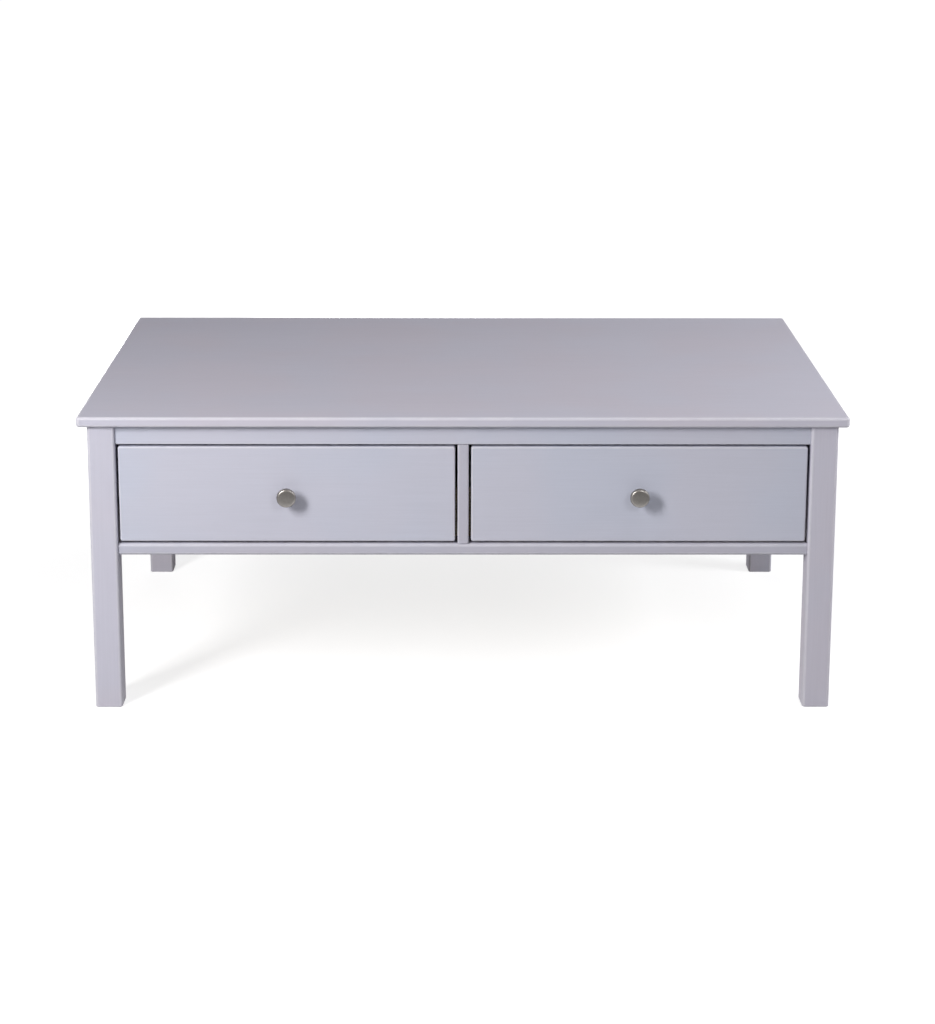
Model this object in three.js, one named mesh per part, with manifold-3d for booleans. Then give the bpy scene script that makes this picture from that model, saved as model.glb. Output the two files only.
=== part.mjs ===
// Coffee table: a slab top on four square legs, with rails, aprons and a partition between them,
// and two inset drawers that slide on wooden runner strips.
// Millimetres, +Z up, the front towards -Y. The origin is on the floor under the middle of the top.

import * as THREE from 'three';
import { mergeVertices } from 'three/addons/utils/BufferGeometryUtils.js';
import Module from 'manifold-3d';

// Overall size
const tableWidth = 1100;
const tableDepth = 650;
const tableHeight = 440;

// Top
const topThickness = 15;
const topSideOverhang = 14;
const topFrontOverhang = 8;
const topArris = 3;
const topCornerRadius = 5;

// Legs
const legSize = 39;
const legArris = 3;
const footChamfer = 1;

// Rails, aprons and partition
const railSetback = 5;
const boardThickness = 18;
const boardArris = 1.5;
const noseArris = 2.5;
const upperRailHeight = 28;
const lowerRailHeight = 17.5;
const lowerRailDepth = 40;
const caseHeight = 194;
const partitionThickness = 16;

// Glue and seat clearance between fixed pieces
const seatGap = 0.3;

// Dowels that join rails, aprons and partition
const dowelRadius = 4;
const dowelLength = 25;
const dowelChamfer = 1;
const boreGap = 0.3;
const sideDowelHeightShares = [0.22, 0.78];
const rearDowelHeightShares = [0.36, 0.64];

// Drawers
const drawerGap = 3.5;
const drawerFrontThickness = 16;
const drawerFrontArris = 2.5;
const drawerFrontCornerRadius = 3.1;
const boxRearClearance = 118;
const boxHeadroom = 24;
const boxRise = 8;
const boxInset = 5;
const boxSideThickness = 12;
const boxBackThickness = 12;
const boxGlueGap = 0.2;

// Drawer bottom, in grooves of the sides and the front
const bottomThickness = 4;
const bottomRise = 8;
const grooveDepth = 6;

// Dovetails between drawer sides and back
const tailCount = 3;
const tailWidthShare = 0.55;
const dovetailSlope = 1 / 6;

// Sliding dovetail between drawer sides and front
const tongueLength = 8;
const tongueNeck = 8;

// Runner strips on the aprons and the partition
const runnerHeight = 15;
const runnerTail = 14;
const runnerChamfer = 2;
const runnerGrooveDepth = 6;
const runnerTopGap = 0.3;
const runnerUnderGap = 0.7;
const runnerSideGap = 1;
const runnerStopGap = 0.5;

// Guide boards under the partition's runner strips
const guideSideGap = 1;
const guideArris = 1;

// Knobs and their screws
const knobDiameter = 28;
const knobProjection = 22;
const knobFootDiameter = 15;
const knobFootHeight = 2;
const knobNeckDiameter = 11;
const knobNeckHeight = 6;
const knobRimThickness = 7;
const knobRimRadius = 3;
const knobCrown = 1.2;
const knobBoreDepth = 14;
const screwDiameter = 4;
const screwBoreGap = 0.3;
const screwHeadDiameter = 9;
const screwHeadHeight = 2.6;
const screwReach = 12;

// Steel angle brackets that hold the top
const bracketFlange = 25;
const bracketWidth = 20;
const bracketSheet = 2;
const bracketBendRadius = 3;
const bracketCornerRadius = 4;
const bracketHoleDiameter = 5;
const bracketSlotLength = 10;
const sideBracketShares = [-0.25, 0.25];
const rearBracketShare = 0.5;

// Facets and cuts
const arrisSegments = 3;
const cornerSegments = 3;
const boreSegments = 12;
const knobSegments = 24;
const screwSegments = 16;
const overrun = 2;
const mergeTolerance = 1e-4;

// Places that several pieces share
const legOuterX = tableWidth / 2 - topSideOverhang;
const legOuterY = tableDepth / 2 - topFrontOverhang;
const legInnerX = legOuterX - legSize;
const legInnerY = legOuterY - legSize;
const topUnderside = tableHeight - topThickness;
const railFaceY = -(legOuterY - railSetback);
const railBackY = railFaceY + boardThickness;
const rearApronInnerY = legOuterY - railSetback - boardThickness;
const sideApronInnerX = legOuterX - railSetback - boardThickness;
const undersideHeight = topUnderside - caseHeight;
const lowerRailTop = undersideHeight + lowerRailHeight;
const upperRailUnderside = topUnderside - upperRailHeight;
const apronHeight = topUnderside - seatGap - undersideHeight;

// Drawer sizes that follow from the opening between leg, partition and rails
const bayWidth = legInnerX - partitionThickness / 2;
const bayCentreX = partitionThickness / 2 + bayWidth / 2;
const bayCentreZ = (lowerRailTop + upperRailUnderside) / 2;
const frontWidth = bayWidth - 2 * drawerGap;
const frontHeight = upperRailUnderside - lowerRailTop - 2 * drawerGap;
const boxOuterX = frontWidth / 2 - boxInset;
const boxInnerX = boxOuterX - boxSideThickness;
const boxBottomZ = -frontHeight / 2 + boxRise;
const boxTopZ = frontHeight / 2 - boxHeadroom;
const boxRearY = rearApronInnerY - railFaceY - boxRearClearance;
const bottomZ = boxBottomZ + bottomRise;
const bottomTopZ = bottomZ + bottomThickness;
const runnerCentreZ = (boxBottomZ + boxTopZ) / 2;
const runnerFrontY = -legInnerY + seatGap;
const runnerLength = railFaceY + boxRearY + runnerTail - runnerFrontY;

// Finishes
const paint = { color: 0xc9c7d2, roughness: 0.45, metalness: 0 };
const pine = { color: 0xd9bd92, roughness: 0.6, metalness: 0 };
const beech = { color: 0xc79f6d, roughness: 0.6, metalness: 0 };
const plywood = { color: 0xd8c6a2, roughness: 0.55, metalness: 0 };
const nickel = { color: 0x8f8a84, roughness: 0.32, metalness: 1 };
const zincSteel = { color: 0xb4b8ba, roughness: 0.38, metalness: 1 };

const manifoldLibrary = await Module();
manifoldLibrary.setup();

// Solids and booleans

function toSolid(geometry) {
  const bare = geometry.clone();
  bare.deleteAttribute('normal');
  bare.deleteAttribute('uv');
  const merged = mergeVertices(bare, mergeTolerance);
  return new manifoldLibrary.Manifold(new manifoldLibrary.Mesh({
    numProp: 3,
    vertProperties: new Float32Array(merged.attributes.position.array),
    triVerts: new Uint32Array(merged.index.array),
  }));
}

function toGeometry(solid) {
  const mesh = solid.getMesh();
  const geometry = new THREE.BufferGeometry();
  geometry.setAttribute('position', new THREE.BufferAttribute(new Float32Array(mesh.vertProperties), 3));
  geometry.setIndex(new THREE.BufferAttribute(new Uint32Array(mesh.triVerts), 1));
  return geometry;
}

function cut(geometry, tools) {
  let solid = toSolid(geometry);
  for (const tool of tools) {
    solid = solid.subtract(toSolid(tool));
  }
  return toGeometry(solid);
}

function join(geometries) {
  let solid = toSolid(geometries[0]);
  for (const geometry of geometries.slice(1)) {
    solid = solid.add(toSolid(geometry));
  }
  return toGeometry(solid);
}

// Outlines and prisms

function roundedRectangle(width, height, radius) {
  const shape = new THREE.Shape();
  const x = width / 2 - radius;
  const y = height / 2 - radius;
  shape.absarc(x, -y, radius, -Math.PI / 2, 0);
  shape.absarc(x, y, radius, 0, Math.PI / 2);
  shape.absarc(-x, y, radius, Math.PI / 2, Math.PI);
  shape.absarc(-x, -y, radius, Math.PI, Math.PI * 1.5);
  return shape;
}

function polygon(points) {
  return new THREE.Shape(points.map(([x, y]) => new THREE.Vector2(x, y)));
}

function rectangle(x0, y0, x1, y1) {
  return polygon([[x0, y0], [x1, y0], [x1, y1], [x0, y1]]);
}

// A prism along +Z from zero, whose end edges are eased by the given arris.
function prism(shape, length, arris = 0, segments = arrisSegments) {
  const eased = arris > 0;
  const geometry = new THREE.ExtrudeGeometry(shape, {
    depth: length - 2 * arris,
    bevelEnabled: eased,
    bevelThickness: arris,
    bevelSize: arris,
    bevelOffset: -arris,
    bevelSegments: segments,
    curveSegments: cornerSegments,
    steps: 1,
  });
  return geometry.translate(0, 0, arris);
}

// The outline's (x, y) become the table's (y, z), and the prism runs along +X from x0.
function prismAlongX(shape, x0, length, arris = 0) {
  const geometry = prism(shape, length, arris);
  const turn = new THREE.Matrix4().set(0, 0, 1, x0, 1, 0, 0, 0, 0, 1, 0, 0, 0, 0, 0, 1);
  return geometry.applyMatrix4(turn);
}

// The outline's (x, y) become the table's (x, z), and the prism runs along +Y from y0.
function prismAlongY(shape, y0, length, arris = 0) {
  const geometry = prism(shape, length, arris);
  return geometry.rotateX(Math.PI / 2).translate(0, y0 + length, 0);
}

// The outline stays in (x, y), and the prism runs along +Z from z0.
function prismAlongZ(shape, z0, length, arris = 0) {
  return prism(shape, length, arris).translate(0, 0, z0);
}

function block(x0, y0, z0, x1, y1, z1) {
  return prismAlongZ(rectangle(x0, y0, x1, y1), z0, z1 - z0);
}

function piece(name, geometry, finish, position = new THREE.Vector3()) {
  const mesh = new THREE.Mesh(geometry, new THREE.MeshStandardMaterial(finish));
  mesh.name = name;
  mesh.position.copy(position);
  return mesh;
}

// Dowel joints: each has a name, a middle, the axis that it runs along and the two pieces that it joins.

function dowelJoints() {
  const joints = [];
  const railMidY = railFaceY + boardThickness / 2;
  const heightAt = (share) => undersideHeight + share * apronHeight;
  for (const [side, sx] of [['left', -1], ['right', 1]]) {
    const sideMidX = sx * (sideApronInnerX + boardThickness / 2);
    for (const [end, sy] of [['front', -1], ['rear', 1]]) {
      for (const [index, share] of sideDowelHeightShares.entries()) {
        joints.push({
          name: `dowel_${side}_apron_${end}_${index + 1}`,
          middle: new THREE.Vector3(sideMidX, sy * legInnerY, heightAt(share)),
          axis: 'y',
          joins: [`side_apron_${side}`, `leg_${end}_${side}`],
        });
      }
    }
    joints.push({
      name: `dowel_upper_rail_${side}`,
      middle: new THREE.Vector3(sx * legInnerX, railMidY, (upperRailUnderside + topUnderside) / 2),
      axis: 'x',
      joins: ['front_upper_rail', `leg_front_${side}`],
    });
    joints.push({
      name: `dowel_lower_rail_${side}`,
      middle: new THREE.Vector3(sx * legInnerX, railMidY, (undersideHeight + lowerRailTop) / 2),
      axis: 'x',
      joins: ['front_lower_rail', `leg_front_${side}`],
    });
    for (const [index, share] of rearDowelHeightShares.entries()) {
      joints.push({
        name: `dowel_rear_apron_${side}_${index + 1}`,
        middle: new THREE.Vector3(sx * legInnerX, -railMidY, heightAt(share)),
        axis: 'x',
        joins: ['rear_apron', `leg_rear_${side}`],
      });
    }
  }
  for (const [index, share] of sideDowelHeightShares.entries()) {
    joints.push({
      name: `dowel_partition_${index + 1}`,
      middle: new THREE.Vector3(0, rearApronInnerY, heightAt(share)),
      axis: 'y',
      joins: ['centre_partition', 'rear_apron'],
    });
  }
  return joints;
}

const joints = dowelJoints();

// Bores for every dowel that enters the named piece, in that piece's own frame.
function boresIn(name, origin) {
  return joints.filter((joint) => joint.joins.includes(name)).map((joint) => {
    const length = dowelLength + 2 * boreGap;
    const tool = new THREE.CylinderGeometry(
      dowelRadius + boreGap, dowelRadius + boreGap, length, boreSegments);
    if (joint.axis === 'x') {
      tool.rotateZ(Math.PI / 2);
    }
    return tool.translate(...joint.middle.clone().sub(origin).toArray());
  });
}

function dowel(joint) {
  const half = dowelLength / 2;
  const profile = [
    new THREE.Vector2(0, -half),
    new THREE.Vector2(dowelRadius - dowelChamfer, -half),
    new THREE.Vector2(dowelRadius, -half + dowelChamfer),
    new THREE.Vector2(dowelRadius, half - dowelChamfer),
    new THREE.Vector2(dowelRadius - dowelChamfer, half),
    new THREE.Vector2(0, half),
  ];
  const mesh = piece(joint.name, new THREE.LatheGeometry(profile, boreSegments), beech, joint.middle);
  if (joint.axis === 'x') {
    mesh.rotation.z = Math.PI / 2;
  }
  return mesh;
}

// Fixed pieces

function makeTop() {
  const outline = roundedRectangle(tableWidth, tableDepth, topCornerRadius);
  const geometry = prism(outline, topThickness, topArris);
  return piece('tabletop', geometry, paint, new THREE.Vector3(0, 0, topUnderside));
}

function makeLeg(end, sy, side, sx) {
  const name = `leg_${end}_${side}`;
  const origin = new THREE.Vector3(
    sx * (legOuterX - legSize / 2), sy * (legOuterY - legSize / 2), 0);
  const outline = roundedRectangle(legSize, legSize, legArris);
  const geometry = prism(outline, topUnderside - seatGap, footChamfer, 1);
  return piece(name, cut(geometry, boresIn(name, origin)), paint, origin);
}

// A rail or apron along X between the legs' inner faces, its section centred on its own origin.
function makeCrossBoard(name, depth, height, arris, middleY, middleZ) {
  const origin = new THREE.Vector3(0, middleY, middleZ);
  const length = 2 * (legInnerX - seatGap);
  const outline = roundedRectangle(depth, height, arris);
  const geometry = prismAlongX(outline, -length / 2, length);
  return piece(name, cut(geometry, boresIn(name, origin)), paint, origin);
}

function makeSideApron(side, sx) {
  const name = `side_apron_${side}`;
  const origin = new THREE.Vector3(
    sx * (sideApronInnerX + boardThickness / 2), 0, undersideHeight + apronHeight / 2);
  const length = 2 * (legInnerY - seatGap);
  const outline = roundedRectangle(boardThickness, apronHeight, boardArris);
  const geometry = prismAlongY(outline, -length / 2, length);
  return piece(name, cut(geometry, boresIn(name, origin)), paint, origin);
}

// The partition is notched at the front round the two rails, and its nose shows between the drawers.
function makePartition() {
  const name = 'centre_partition';
  const rearY = rearApronInnerY - seatGap;
  const top = topUnderside - seatGap;
  const outline = polygon([
    [railFaceY, lowerRailTop + seatGap],
    [railFaceY + lowerRailDepth + seatGap, lowerRailTop + seatGap],
    [railFaceY + lowerRailDepth + seatGap, undersideHeight],
    [rearY, undersideHeight],
    [rearY, top],
    [railBackY + seatGap, top],
    [railBackY + seatGap, upperRailUnderside - seatGap],
    [railFaceY, upperRailUnderside - seatGap],
  ]);
  const geometry = prismAlongX(outline, -partitionThickness / 2, partitionThickness, noseArris);
  return piece(name, cut(geometry, boresIn(name, new THREE.Vector3())), paint);
}

// A runner strip stands on its carrier's face and reaches into the groove of the drawer's side.
function makeRunner(name, carrierX, tipX) {
  const width = Math.abs(carrierX - tipX);
  const towards = Math.sign(tipX - carrierX);
  const half = runnerHeight / 2;
  const outline = polygon([
    [0, -half],
    [width - runnerChamfer, -half],
    [width, -half + runnerChamfer],
    [width, half - runnerChamfer],
    [width - runnerChamfer, half],
    [0, half],
  ]);
  const geometry = prismAlongY(outline, 0, runnerLength);
  const origin = new THREE.Vector3(carrierX, runnerFrontY, bayCentreZ + runnerCentreZ);
  if (towards < 0) {
    geometry.rotateZ(Math.PI).translate(0, runnerLength, 0);
  }
  return piece(name, geometry, pine, origin);
}

function makeRunners(side, sx) {
  const grooveFloorOffset = boxOuterX - runnerGrooveDepth + runnerSideGap;
  const outerTip = sx * (bayCentreX + grooveFloorOffset);
  const innerTip = sx * (bayCentreX - grooveFloorOffset);
  return [
    makeRunner(`runner_${side}_outer`, sx * (sideApronInnerX - seatGap), outerTip),
    makeRunner(`runner_${side}_inner`, sx * (partitionThickness / 2 + seatGap), innerTip),
  ];
}

// A guide board stands on the lower rail under the partition's runner strip, and keeps the drawer in line.
function makeGuideBoard(side, sx) {
  const carrierX = partitionThickness / 2 + seatGap;
  const width = bayCentreX - boxOuterX - guideSideGap - carrierX;
  const low = lowerRailTop + seatGap;
  const high = bayCentreZ + runnerCentreZ - runnerHeight / 2 - seatGap;
  const outline = roundedRectangle(width, high - low, guideArris);
  const origin = new THREE.Vector3(sx * (carrierX + width / 2), runnerFrontY, (low + high) / 2);
  return piece(`guide_board_${side}`, prismAlongY(outline, 0, runnerLength), pine, origin);
}

// Angle bracket: one flange against an apron at x = 0, the other under the top at z = 0.
function makeBracket(name, position, turn) {
  const bend = new THREE.Shape();
  bend.moveTo(0, -bracketFlange);
  bend.lineTo(bracketSheet, -bracketFlange);
  bend.lineTo(bracketSheet, -bracketBendRadius);
  bend.quadraticCurveTo(bracketSheet, -bracketSheet, bracketBendRadius, -bracketSheet);
  bend.lineTo(bracketFlange, -bracketSheet);
  bend.lineTo(bracketFlange, 0);
  bend.lineTo(bracketBendRadius, 0);
  bend.quadraticCurveTo(0, 0, 0, -bracketBendRadius);
  const angle = prismAlongY(bend, -bracketWidth / 2, bracketWidth);
  const flangeMiddle = (bracketFlange + bracketBendRadius) / 2;
  const holeRadius = bracketHoleDiameter / 2;
  const apronSlot = roundedRectangle(bracketHoleDiameter, bracketSlotLength, holeRadius);
  const sideTool = prismAlongX(apronSlot, -overrun, bracketSheet + 2 * overrun);
  sideTool.translate(0, 0, -flangeMiddle);
  const topHole = new THREE.CylinderGeometry(
    holeRadius, holeRadius, bracketSheet + 2 * overrun, boreSegments);
  topHole.rotateX(Math.PI / 2).translate(flangeMiddle, 0, -bracketSheet / 2);
  const tools = [sideTool, topHole];
  for (const sy of [-1, 1]) {
    tools.push(cornerTool(bracketFlange, sy * bracketWidth / 2, sy, 'z'));
    tools.push(cornerTool(bracketFlange, sy * bracketWidth / 2, sy, 'x'));
  }
  const mesh = piece(name, cut(angle, tools), zincSteel, position);
  mesh.rotation.z = turn;
  return mesh;
}

// Takes the square corner off a bracket's flange end, across the flange that lies square to the axis.
function cornerTool(reach, edge, sy, axis) {
  const nip = bracketCornerRadius;
  const shape = polygon([
    [reach + overrun, sy * (edge * sy - nip) - sy * overrun],
    [reach + overrun, edge + sy * overrun],
    [reach - nip - overrun, edge + sy * overrun],
  ]);
  if (axis === 'z') {
    return prismAlongZ(shape, -bracketSheet - overrun, bracketSheet + 2 * overrun);
  }
  return prismAlongZ(shape, -overrun, bracketSheet + 2 * overrun).rotateY(Math.PI / 2);
}

function makeBrackets() {
  const height = topUnderside - seatGap;
  const brackets = [];
  for (const [side, sx] of [['left', -1], ['right', 1]]) {
    for (const [index, share] of sideBracketShares.entries()) {
      const place = new THREE.Vector3(
        sx * (sideApronInnerX - seatGap), share * 2 * legInnerY, height);
      brackets.push(makeBracket(`top_bracket_${side}_${index + 1}`, place, sx > 0 ? Math.PI : 0));
    }
    const rearPlace = new THREE.Vector3(
      sx * rearBracketShare * legInnerX, rearApronInnerY - seatGap, height);
    brackets.push(makeBracket(`top_bracket_rear_${side}`, rearPlace, -Math.PI / 2));
  }
  return brackets;
}

// Drawer pieces, in the drawer's frame: the middle of the front's outer face is the origin.

// Heights of the dovetails' edges: each tail's lower and upper flank at the joint's base line.
function tailFlanks() {
  const start = bottomTopZ + seatGap;
  const pitch = (boxTopZ - start) / tailCount;
  const half = pitch * tailWidthShare / 2;
  return Array.from({ length: tailCount }, (_, index) => {
    const middle = start + pitch * (index + 0.5);
    return [middle - half, middle + half];
  });
}

// The side is a board with tails at the rear and a dovetailed tongue at the front.
function makeDrawerSide(name, sx) {
  const baseY = boxRearY - boxBackThickness;
  const flare = boxBackThickness * dovetailSlope;
  const outline = [
    [drawerFrontThickness + boxGlueGap, boxTopZ],
    [drawerFrontThickness + boxGlueGap, boxBottomZ],
    [boxRearY, boxBottomZ],
    [boxRearY, bottomTopZ + seatGap - boxGlueGap],
    [baseY, bottomTopZ + seatGap - boxGlueGap],
  ];
  for (const [low, high] of tailFlanks()) {
    outline.push([baseY, low], [boxRearY, low - flare], [boxRearY, high + flare], [baseY, high]);
  }
  outline.push([baseY, boxTopZ]);
  const innerX = sx * boxInnerX;
  const outerX = sx * boxOuterX;
  const startX = Math.min(innerX, outerX);
  const board = prismAlongX(polygon(outline), startX, boxSideThickness);
  const middleX = (innerX + outerX) / 2;
  const tongue = prismAlongZ(
    tongueOutline(middleX, 0, drawerFrontThickness + overrun), boxBottomZ, boxTopZ - boxBottomZ);
  const bottomGroove = block(
    Math.min(innerX - sx * overrun, innerX + sx * grooveDepth), 0, bottomZ - seatGap,
    Math.max(innerX - sx * overrun, innerX + sx * grooveDepth), boxRearY + overrun, bottomTopZ + seatGap);
  return piece(name, cut(join([board, tongue]), [runnerGroove(sx), bottomGroove]), pine);
}

// The groove that a runner strip fills: blind at the front, where it stops the drawer, open at the rear.
function runnerGroove(sx) {
  const low = runnerCentreZ - runnerHeight / 2 - runnerUnderGap;
  const high = runnerCentreZ + runnerHeight / 2 + runnerTopGap;
  const startY = runnerFrontY - railFaceY - runnerStopGap;
  const mouthX = sx * (boxOuterX + overrun);
  const floorX = sx * (boxOuterX - runnerGrooveDepth);
  return block(
    Math.min(mouthX, floorX), startY, low, Math.max(mouthX, floorX), boxRearY + overrun, high);
}

// Plan of the sliding dovetail: a neck at the front's back face that widens towards its tip.
// A positive clearance gives the slot, and endY says how far the neck runs out behind.
function tongueOutline(middleX, clearance, endY) {
  const tipY = drawerFrontThickness - tongueLength + boxGlueGap - clearance;
  const neck = tongueNeck / 2 + clearance;
  const tip = neck + tongueLength * dovetailSlope;
  return polygon([
    [middleX - neck, endY],
    [middleX - neck, drawerFrontThickness],
    [middleX - tip, tipY],
    [middleX + tip, tipY],
    [middleX + neck, drawerFrontThickness],
    [middleX + neck, endY],
  ]);
}

function makeDrawerFront(name) {
  const outline = roundedRectangle(frontWidth, frontHeight, drawerFrontCornerRadius);
  const board = prismAlongY(outline, 0, drawerFrontThickness, drawerFrontArris);
  const tools = [];
  for (const sx of [-1, 1]) {
    const middleX = sx * (boxInnerX + boxOuterX) / 2;
    const plan = tongueOutline(middleX, boxGlueGap, drawerFrontThickness + overrun);
    const slotTop = boxTopZ + boxGlueGap;
    const slotFoot = -frontHeight / 2 - overrun;
    tools.push(prismAlongZ(plan, slotFoot, slotTop - slotFoot));
  }
  const grooveEndX = boxInnerX + grooveDepth;
  tools.push(block(
    -grooveEndX, drawerFrontThickness - grooveDepth, bottomZ - seatGap,
    grooveEndX, drawerFrontThickness + overrun, bottomTopZ + seatGap));
  const boreRadius = screwDiameter / 2 + screwBoreGap;
  const bore = new THREE.CylinderGeometry(
    boreRadius, boreRadius, drawerFrontThickness + 2 * overrun, boreSegments);
  tools.push(bore.translate(0, drawerFrontThickness / 2, 0));
  return piece(name, cut(board, tools), paint);
}

// The back's pins fill the spaces between the sides' tails, and the runner grooves pass through them.
function makeDrawerBack(name) {
  const low = bottomTopZ + seatGap;
  const innerY = boxRearY - boxBackThickness + boxGlueGap;
  const bodyX = boxInnerX - boxGlueGap;
  const parts = [block(-bodyX, innerY, low, bodyX, boxRearY, boxTopZ)];
  const flare = boxBackThickness * dovetailSlope;
  const flanks = tailFlanks();
  const edges = [low, ...flanks.flat(), boxTopZ];
  for (let index = 0; index < edges.length; index += 2) {
    const isFirst = index === 0;
    const isLast = index === edges.length - 2;
    const wideLow = edges[index] + (isFirst ? 0 : boxGlueGap);
    const wideHigh = edges[index + 1] - (isLast ? 0 : boxGlueGap);
    const pin = polygon([
      [innerY, wideLow],
      [boxRearY, wideLow + (isFirst ? 0 : flare)],
      [boxRearY, wideHigh - (isLast ? 0 : flare)],
      [innerY, wideHigh],
    ]);
    parts.push(prismAlongX(pin, -boxOuterX, 2 * boxOuterX));
  }
  return piece(name, cut(join(parts), [runnerGroove(-1), runnerGroove(1)]), pine);
}

function makeDrawerBottom(name) {
  const halfWidth = boxInnerX + grooveDepth - seatGap;
  const startY = drawerFrontThickness - grooveDepth + seatGap;
  const sheet = block(-halfWidth, startY, bottomZ, halfWidth, boxRearY, bottomTopZ);
  return piece(name, sheet, plywood);
}

// Knob profile as (radius, height above the drawer's face), from the bore's blind end round to the crown.
function makeKnob(name) {
  const boreRadius = screwDiameter / 2 + screwBoreGap;
  const foot = knobFootDiameter / 2;
  const neck = knobNeckDiameter / 2;
  const head = knobDiameter / 2;
  const rimTop = knobProjection - knobCrown;
  const rimFoot = rimTop - knobRimThickness;
  const outline = new THREE.Path();
  outline.moveTo(0, knobBoreDepth);
  outline.lineTo(boreRadius, knobBoreDepth);
  outline.lineTo(boreRadius, 0);
  outline.lineTo(foot, 0);
  outline.lineTo(foot, knobFootHeight / 2);
  outline.quadraticCurveTo(foot, knobFootHeight, neck + knobFootHeight / 2, knobFootHeight);
  outline.quadraticCurveTo(neck, knobFootHeight, neck, knobNeckHeight);
  outline.quadraticCurveTo(neck, rimFoot, head - knobRimRadius, rimFoot);
  outline.quadraticCurveTo(head, rimFoot, head, rimFoot + knobRimRadius);
  outline.lineTo(head, rimTop - knobRimRadius);
  outline.quadraticCurveTo(head, rimTop, head - knobRimRadius, rimTop);
  outline.quadraticCurveTo(head / 2, knobProjection, 0, knobProjection);
  const mesh = piece(
    name, new THREE.LatheGeometry(outline.getPoints(cornerSegments), knobSegments), nickel,
    new THREE.Vector3(0, -seatGap, 0));
  mesh.rotation.z = Math.PI;
  return mesh;
}

// The screw's head bears on the back of the front, and its shank ends inside the knob.
function makeKnobScrew(name) {
  const shank = screwDiameter / 2;
  const head = screwHeadDiameter / 2;
  const seatY = drawerFrontThickness + seatGap;
  const outline = new THREE.Path();
  outline.moveTo(0, -screwReach);
  outline.lineTo(shank, -screwReach);
  outline.lineTo(shank, seatY);
  outline.lineTo(head, seatY);
  outline.lineTo(head, seatY + screwHeadHeight / 2);
  outline.quadraticCurveTo(head, seatY + screwHeadHeight, shank, seatY + screwHeadHeight);
  outline.lineTo(0, seatY + screwHeadHeight);
  return piece(
    name, new THREE.LatheGeometry(outline.getPoints(cornerSegments), screwSegments), zincSteel);
}

function makeDrawer(side, sx) {
  const drawer = new THREE.Group();
  drawer.position.set(sx * bayCentreX, railFaceY, bayCentreZ);
  drawer.add(
    makeDrawerFront(`drawer_${side}_front`),
    makeDrawerSide(`drawer_${side}_side_left`, -1),
    makeDrawerSide(`drawer_${side}_side_right`, 1),
    makeDrawerBack(`drawer_${side}_back`),
    makeDrawerBottom(`drawer_${side}_bottom`),
    makeKnob(`drawer_${side}_knob`),
    makeKnobScrew(`drawer_${side}_knob_screw`),
  );
  return drawer;
}

function makeTable() {
  const table = new THREE.Group();
  table.add(makeTop());
  for (const [side, sx] of [['left', -1], ['right', 1]]) {
    table.add(makeLeg('front', -1, side, sx), makeLeg('rear', 1, side, sx));
    table.add(makeSideApron(side, sx));
    table.add(...makeRunners(side, sx), makeGuideBoard(side, sx));
    table.add(makeDrawer(side, sx));
  }
  table.add(makeCrossBoard(
    'front_upper_rail', boardThickness, upperRailHeight - seatGap, boardArris,
    railFaceY + boardThickness / 2, upperRailUnderside + (upperRailHeight - seatGap) / 2));
  table.add(makeCrossBoard(
    'front_lower_rail', lowerRailDepth, lowerRailHeight, noseArris,
    railFaceY + lowerRailDepth / 2, undersideHeight + lowerRailHeight / 2));
  table.add(makeCrossBoard(
    'rear_apron', boardThickness, apronHeight, boardArris,
    rearApronInnerY + boardThickness / 2, undersideHeight + apronHeight / 2));
  table.add(makePartition());
  table.add(...makeBrackets());
  table.add(...joints.map(dowel));
  return table;
}

export default makeTable();
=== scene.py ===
"""The looks of a coffee table with two drawers: eased boards, turned knobs, fasteners and finishes.

Metres, +Z up, the front towards -Y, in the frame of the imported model. The camera and the studio
come first, then each sub-assembly builds its meshes over the model's nodes and dresses them.
"""

import logging
import math
from collections.abc import Callable, Iterable
from dataclasses import dataclass, field
from enum import Enum

import bpy
from mathutils import Matrix, Vector


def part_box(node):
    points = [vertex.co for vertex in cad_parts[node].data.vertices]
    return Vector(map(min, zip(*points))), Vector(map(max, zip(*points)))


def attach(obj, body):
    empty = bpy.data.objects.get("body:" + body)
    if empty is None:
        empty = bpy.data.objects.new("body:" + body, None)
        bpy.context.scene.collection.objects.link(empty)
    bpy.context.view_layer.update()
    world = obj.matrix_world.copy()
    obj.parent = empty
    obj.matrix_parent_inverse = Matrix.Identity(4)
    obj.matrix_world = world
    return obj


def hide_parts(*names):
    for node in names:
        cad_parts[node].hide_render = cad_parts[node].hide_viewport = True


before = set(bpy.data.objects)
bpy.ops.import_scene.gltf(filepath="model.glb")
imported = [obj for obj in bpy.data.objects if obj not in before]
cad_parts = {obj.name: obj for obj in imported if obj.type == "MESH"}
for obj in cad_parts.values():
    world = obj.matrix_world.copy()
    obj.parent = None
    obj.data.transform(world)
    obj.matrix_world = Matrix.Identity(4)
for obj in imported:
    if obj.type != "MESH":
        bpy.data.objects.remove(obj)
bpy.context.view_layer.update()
log = logging.getLogger("coffee_table")

Colour = tuple[float, float, float]
Triple = tuple[float, float, float]
SocketValue = float | tuple[float, ...] | bpy.types.NodeSocket
EdgeTest = Callable[[Vector, Vector], bool]

Z_AXIS = 2
MM = 0.001
SAME_PLACE = 0.01 * MM
SAME_POINT = 0.001 * MM
FLAT_SHARE = 0.999
FLAT_ANGLE = math.radians(0.5)
CRISP_ANGLE = math.radians(40.0)
MOST_NOISE = (0.3, 0.7)
WAVE_PERIOD = math.pi / 10
WHITE: Colour = (1.0, 1.0, 1.0)


class Body(Enum):
    """The moving and fixed bodies of the table."""

    FRAME = "frame"
    LEFT_DRAWER = "left_drawer"
    RIGHT_DRAWER = "right_drawer"


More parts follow.
